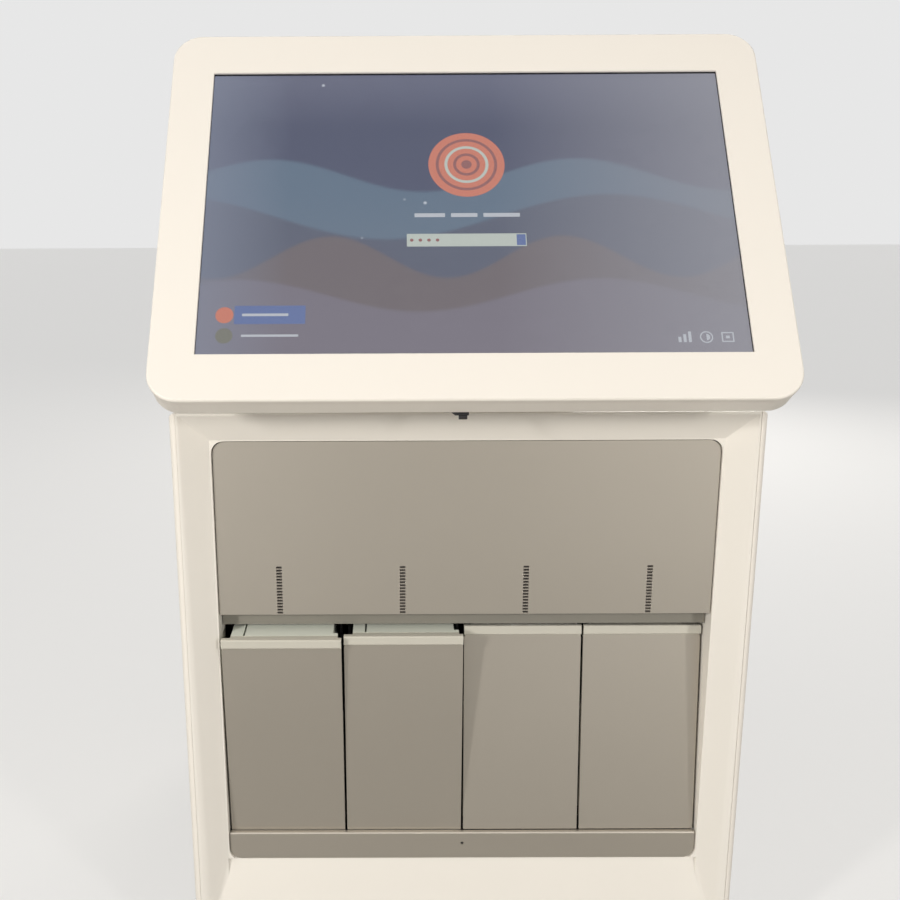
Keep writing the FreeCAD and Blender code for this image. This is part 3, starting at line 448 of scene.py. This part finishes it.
def soften(name):
    """Fine rounding on a CAD node's sharp edges."""
    obj = NODES[name]
    weld = obj.modifiers.new("weld", "WELD")
    weld.merge_threshold = WELD_REACH
    bevel = obj.modifiers.new("edges", "BEVEL")
    bevel.width = EDGE_WIDTH
    bevel.segments = 2
    bevel.limit_method = "ANGLE"
    bevel.angle_limit = EDGE_ANGLE
    bevel.harden_normals = False
    normal = obj.modifiers.new("normals", "WEIGHTED_NORMAL")
    normal.keep_sharp = False
    for poly in obj.data.polygons:
        poly.use_smooth = True


# Outlines in a plane

def disc_points(x, y, r, count=48):
    step = 2 * math.pi / count
    return [(x + r * math.cos(step * i), y + r * math.sin(step * i)) for i in range(count)]


def arc_points(x, y, r, start, end, count):
    """Points on an arc, both of its ends included."""
    step = (end - start) / count
    return [(x + r * math.cos(start + step * i), y + r * math.sin(start + step * i))
            for i in range(count + 1)]


def bar_points(x0, x1, y0, y1):
    return [(x0, y0), (x1, y0), (x1, y1), (x0, y1)]


def ring_points(x, y, r, width):
    """A ring as one outline, with a hairline slit where it closes."""
    end = 2 * math.pi - 0.001
    outer = arc_points(x, y, r, 0, end, 40)
    inner = arc_points(x, y, r - width, 0, end, 40)
    return outer + inner[::-1]


def frame_points(outer, inner):
    """A frame as one outline that runs round the outer corners and back round the inner ones."""
    return outer + [outer[0], inner[0]] + inner[::-1]


# Picture on the screen

def flat(name, points, layer, mat):
    """A flat patch on the display, in millimetres from the middle of the lit area's lower edge."""
    mesh = bpy.data.meshes.new(name)
    verts = [DISPLAY @ Vector((x / 1000, y / 1000, layer / 1000)) for x, y in points]
    mesh.from_pydata([tuple(v) for v in verts], [], [list(range(len(verts)))])
    mesh.materials.append(mat)
    obj = bpy.data.objects.new(name, mesh)
    bpy.context.scene.collection.objects.link(obj)
    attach(obj, "display_unit")


def make_screen():
    half = SCREEN_W / 2
    flat("screen_picture", bar_points(-half, half, 0, SCREEN_H), PICTURE_LAYER,
         screen_picture("screen_picture"))
    lit = {key: glow("screen_" + key, tone) for key, tone in SCREEN_TONES.items()}
    make_badge(lit)
    make_entry(lit)
    make_tiles(lit)
    make_icons(lit)


def make_badge(lit):
    """Round badge with three rings and a core, and three dashes under it."""
    x, y = -0.6, 107.0
    flat("badge_disc", disc_points(x, y, 19.2), MARK_LAYER, lit["amber"])
    for index, key in enumerate(("dusk", "field", "dusk")):
        ring = ring_points(x, y, 15.5 - index * 4.4, 1.5)
        flat("badge_ring_%d" % index, ring, TOP_LAYER, lit[key])
    flat("badge_core", disc_points(x, y, 2.6), TOP_LAYER, lit["dusk"])
    for index, (x0, x1) in enumerate(((-27, -12), (-9, 4), (7, 25))):
        flat("title_dash_%d" % index, bar_points(x0, x1, 76.0, 78.2), MARK_LAYER, lit["line"])


def make_entry(lit):
    """Entry field with four dots and a key at its end."""
    flat("entry_bar", bar_points(-30.9, 27.6, 59.2, 66.4), MARK_LAYER, lit["field"])
    flat("entry_key", bar_points(22.8, 27.2, 59.7, 65.9), TOP_LAYER, lit["tile"])
    for index in range(4):
        flat("entry_dot_%d" % index, disc_points(-28.5 + index * 4.2, 62.8, 0.9, 16), TOP_LAYER,
             lit["dusk"])


def make_tiles(lit):
    """Two entries of a list, each with a disc and a dash, the upper one on a bar."""
    flat("tile_bar", bar_points(-113.2, -79.4, 17.0, 26.8), MARK_LAYER, lit["tile"])
    flat("tile_dash", bar_points(-109.5, -87.5, 21.2, 22.6), TOP_LAYER, lit["line"])
    flat("tile_dash_low", bar_points(-109.5, -82.5, 10.2, 11.4), MARK_LAYER, lit["line"])
    flat("tile_disc", disc_points(-117.9, 21.8, 4.3, 28), MARK_LAYER, lit["amber"])
    flat("tile_disc_low", disc_points(-117.6, 10.8, 4.1, 28), MARK_LAYER, lit["moss"])


def make_icons(lit):
    """Three plain icons at the lower right: bars, a ring with its half filled, and a frame."""
    for key, x0, top in (("a", 96.4, 9.2), ("b", 98.8, 10.6), ("c", 101.2, 12.0)):
        flat("icon_bars_" + key, bar_points(x0, x0 + 1.4, 6.4, top), MARK_LAYER, lit["line"])
    flat("icon_ring", ring_points(109.7, 9.0, 3.1, 0.6), MARK_LAYER, lit["line"])
    flat("icon_half", arc_points(109.7, 9.0, 1.7, -math.pi / 2, math.pi / 2, 20), MARK_LAYER,
         lit["line"])
    outline = frame_points(bar_points(116.8, 122.6, 6.4, 11.6), bar_points(117.4, 122.0, 7.0, 11.0))
    flat("icon_frame", outline, MARK_LAYER, lit["line"])
    flat("icon_frame_mark", bar_points(118.8, 120.6, 8.3, 9.7), TOP_LAYER, lit["line"])


# Small fittings

def lathe(points, count=28):
    """Vertices and faces of a turned piece from (radius, height) pairs, closed at both ends."""
    verts = [(r * math.cos(2 * math.pi * i / count), r * math.sin(2 * math.pi * i / count), z)
             for r, z in points for i in range(count)]
    faces = [list(range(count))[::-1]]
    for row in range(len(points) - 1):
        low, high = row * count, (row + 1) * count
        for i in range(count):
            j = (i + 1) % count
            faces.append([low + i, low + j, high + j, high + i])
    faces.append([(len(points) - 1) * count + i for i in range(count)])
    return verts, faces


def fitting(name, place, verts, faces, mats, body):
    """A small piece in the frame of the matrix place. A second material goes to its last face."""
    mesh = bpy.data.meshes.new(name)
    mesh.from_pydata([tuple(place @ Vector(v)) for v in verts], [], faces)
    for mat in mats:
        mesh.materials.append(mat)
    mesh.polygons[-1].material_index = len(mats) - 1
    obj = bpy.data.objects.new(name, mesh)
    bpy.context.scene.collection.objects.link(obj)
    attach(obj, body)


def screw(name, place, r, mats, body):
    """Pan head with a cross recess drawn as a flat black face, painted shade for the recess, its axis
    along the matrix's Z.
    """
    verts, faces = lathe([(r, 0), (r, r * 0.25), (r * 0.8, r * 0.42)])
    level = r * 0.43
    long, thin = r * 0.55, r * 0.12
    cross = [(-long, -thin), (-thin, -thin), (-thin, -long), (thin, -long),
             (thin, -thin), (long, -thin), (long, thin), (thin, thin),
             (thin, long), (-thin, long), (-thin, thin), (-long, thin)]
    # The cross is a flat face in black: painted shade where the recess would be.
    faces.append([len(verts) + i for i in range(len(cross))])
    verts += [(x, y, level) for x, y in cross]
    fitting(name, place, verts, faces, [mats["steel"], mats["black"]], body)


def make_rear_screws(mats):
    """Screws down both edges of the rear panel and at the corners of both fans."""
    outward = Matrix.Rotation(math.radians(-90), 4, "X")
    spots = [(x, z) for x in (-REAR_SCREW_X, REAR_SCREW_X) for z in REAR_SCREW_ROWS]
    steps = (-FAN_SCREW_STEP, FAN_SCREW_STEP)
    spots += [(middle + dx, FAN_Z + dz) for middle in (-FAN_X, FAN_X) for dx in steps for dz in steps]
    for index, (x, z) in enumerate(spots, 1):
        place = Matrix.Translation((x, REAR_Y, z)) @ outward
        screw("rear_screw_%d" % index, place, PAN_SCREW_R, mats, "cabinet")


def make_kick_socket(mats):
    """Thin black disc in the kick strip's screw: painted shade standing in for its socket."""
    place = Matrix.Translation(KICK_SCREW) @ Matrix.Rotation(math.radians(90), 4, "X")
    verts, faces = lathe([(SOCKET_R, 0), (SOCKET_R, SOCKET_H)], 20)
    fitting("kick_screw_socket", place, verts, faces, [mats["black"]], "cabinet")


def make_shell_screws(mats):
    """Screws on the back of the display, each on a thin black disc: painted shade standing in for its
    well.
    """
    for index, (x, y) in enumerate(SHELL_SCREWS, 1):
        spot = Matrix.Translation((x / 1000, y / 1000, SHELL_BACK / 1000))
        well = DISPLAY @ spot @ Matrix.Rotation(math.pi, 4, "X")
        verts, faces = lathe([(SHELL_WELL_R, 0), (SHELL_WELL_R, SHELL_WELL_H)])
        fitting("shell_screw_well_%d" % index, well, verts, faces, [mats["black"]], "display_unit")
        head = well @ Matrix.Translation((0, 0, SHELL_WELL_H))
        screw("shell_screw_%d" % index, head, SHELL_SCREW_R, mats, "display_unit")


def make_rocker_marks(mats):
    """Bar and ring marks on the two halves of the rocker."""
    marks = (("rocker_bar", 1, bar_points(-0.35, 0.35, -2, 2)),
             ("rocker_ring", -1, ring_points(0, 0, 2, 0.5)))
    for name, side, outline in marks:
        middle = Matrix.Translation((0, ROCKER_FACE_OUT, ROCKER_FACE_UP * side))
        face = ROCKER @ middle @ Matrix.Rotation(-math.pi / 2 - ROCKER_SLOPE * side, 4, "X")
        verts = [(x / 1000, y / 1000, MARK_LIFT / 1000) for x, y in outline]
        faces = [list(range(len(verts)))]
        fitting(name, face, verts, faces, [mats["mark"]], "rocker")


# Stage, light and camera

def camera_or_gloss(tree, sheen):
    """1 for rays seen by the camera, sheen for those in a reflection, 0 for light thrown back."""
    path = tree.nodes.new("ShaderNodeLightPath")
    gloss = math_node(tree, "MULTIPLY", path.outputs["Is Glossy Ray"], sheen)
    seen = math_node(tree, "MAXIMUM", path.outputs["Is Camera Ray"], gloss)
    return math_node(tree, "MAXIMUM", seen, path.outputs["Is Transmission Ray"])


def make_floor():
    """Pale floor that keeps the object's shadow. In reflections only its far front corners are lit."""
    bpy.ops.mesh.primitive_plane_add(size=FLOOR_SIZE, location=FLOOR_PLACE)
    floor = bpy.context.object
    floor.name = "floor"
    mat, tree, shader = new_material("floor")
    link(tree, tinted(tree, FLOOR_COLOR, noise(tree, 30.0), 0.01), shader.inputs["Base Color"])
    shader.inputs["Roughness"].default_value = 0.9
    lift = tree.nodes.new("ShaderNodeEmission")
    lift.inputs["Color"].default_value = (1, 1, 1, 1)
    x, y, _ = split_coord(tree, "Object")
    aside = ramp(tree, math_node(tree, "ABSOLUTE", x), 0.05, 0.5, 0.15, 1.3)
    ahead = ramp(tree, y, -2.4, -3.4, 0.1, 1.0)
    seen = camera_or_gloss(tree, math_node(tree, "MULTIPLY", aside, ahead))
    link(tree, math_node(tree, "MULTIPLY", seen, FLOOR_LIFT), lift.inputs["Strength"])
    both = tree.nodes.new("ShaderNodeAddShader")
    link(tree, shader.outputs["BSDF"], both.inputs[0])
    link(tree, lift.outputs["Emission"], both.inputs[1])
    link(tree, both.outputs["Shader"], tree.nodes["Material Output"].inputs["Surface"])
    floor.data.materials.append(mat)


def make_world():
    """Warm ambient light, a pale backdrop for the camera and low side walls in reflections."""
    world = bpy.data.worlds.new("studio")
    world.use_nodes = True
    bpy.context.scene.world = world
    tree = world.node_tree
    ambient = tree.nodes["Background"]
    ambient.inputs["Color"].default_value = rgba(AMBIENT_COLOR)
    ambient.inputs["Strength"].default_value = AMBIENT
    backdrop = tree.nodes.new("ShaderNodeBackground")
    backdrop.inputs["Color"].default_value = rgba(BACKDROP_COLOR)
    path = tree.nodes.new("ShaderNodeLightPath")
    x, _, z = split_coord(tree, "Generated")
    height = ramp(tree, z, 0.4, 0.1, 0.0, 1.0)
    low = math_node(tree, "MULTIPLY", height, path.outputs["Is Glossy Ray"])
    aside = ramp(tree, math_node(tree, "ABSOLUTE", x), 0.04, 0.5, -0.5, 1.05)
    walls = math_node(tree, "MULTIPLY", aside, low)
    link(tree, math_node(tree, "ADD", walls, 1.0), backdrop.inputs["Strength"])
    mix = tree.nodes.new("ShaderNodeMixShader")
    link(tree, camera_or_gloss(tree, 1.0), mix.inputs["Fac"])
    link(tree, ambient.outputs["Background"], mix.inputs[1])
    link(tree, backdrop.outputs["Background"], mix.inputs[2])
    link(tree, mix.outputs["Shader"], tree.nodes["World Output"].inputs["Surface"])


def area_light(name, place, target, size, power):
    data = bpy.data.lights.new(name, "AREA")
    data.shape = "RECTANGLE"
    data.size, data.size_y = size
    data.energy = power
    data.color = LAMP_COLOR
    obj = bpy.data.objects.new(name, data)
    obj.location = place
    aim = (Vector(target) - Vector(place)).to_track_quat("-Z", "Y")
    obj.rotation_euler = aim.to_euler()
    bpy.context.scene.collection.objects.link(obj)


def make_overhead():
    data = bpy.data.lights.new("overhead", "SUN")
    data.energy = OVERHEAD_POWER
    data.angle = math.radians(OVERHEAD_SPREAD)
    data.color = OVERHEAD_COLOR
    lamp = bpy.data.objects.new("overhead", data)
    lamp.rotation_euler = (math.radians(OVERHEAD_TILT), 0, 0)
    bpy.context.scene.collection.objects.link(lamp)


def make_camera():
    data = bpy.data.cameras.new("camera")
    data.sensor_width = CAMERA_SENSOR
    data.lens = CAMERA_LENS
    data.shift_x, data.shift_y = CAMERA_SHIFT
    cam = bpy.data.objects.new("camera", data)
    cam.location = CAMERA_PLACE
    cam.rotation_euler = [math.radians(angle) for angle in CAMERA_TURN]
    bpy.context.scene.collection.objects.link(cam)
    bpy.context.scene.camera = cam


bpy.context.scene.view_settings.view_transform = "Standard"
MATS = make_materials()
paint(MATS)
for node_name in NODES:
    if node_name not in UNSOFTENED:
        soften(node_name)
make_screen()
make_rear_screws(MATS)
make_kick_socket(MATS)
make_shell_screws(MATS)
make_rocker_marks(MATS)
make_floor()
make_world()
for lamp_row in LAMPS:
    area_light(*lamp_row)
make_overhead()
make_camera()
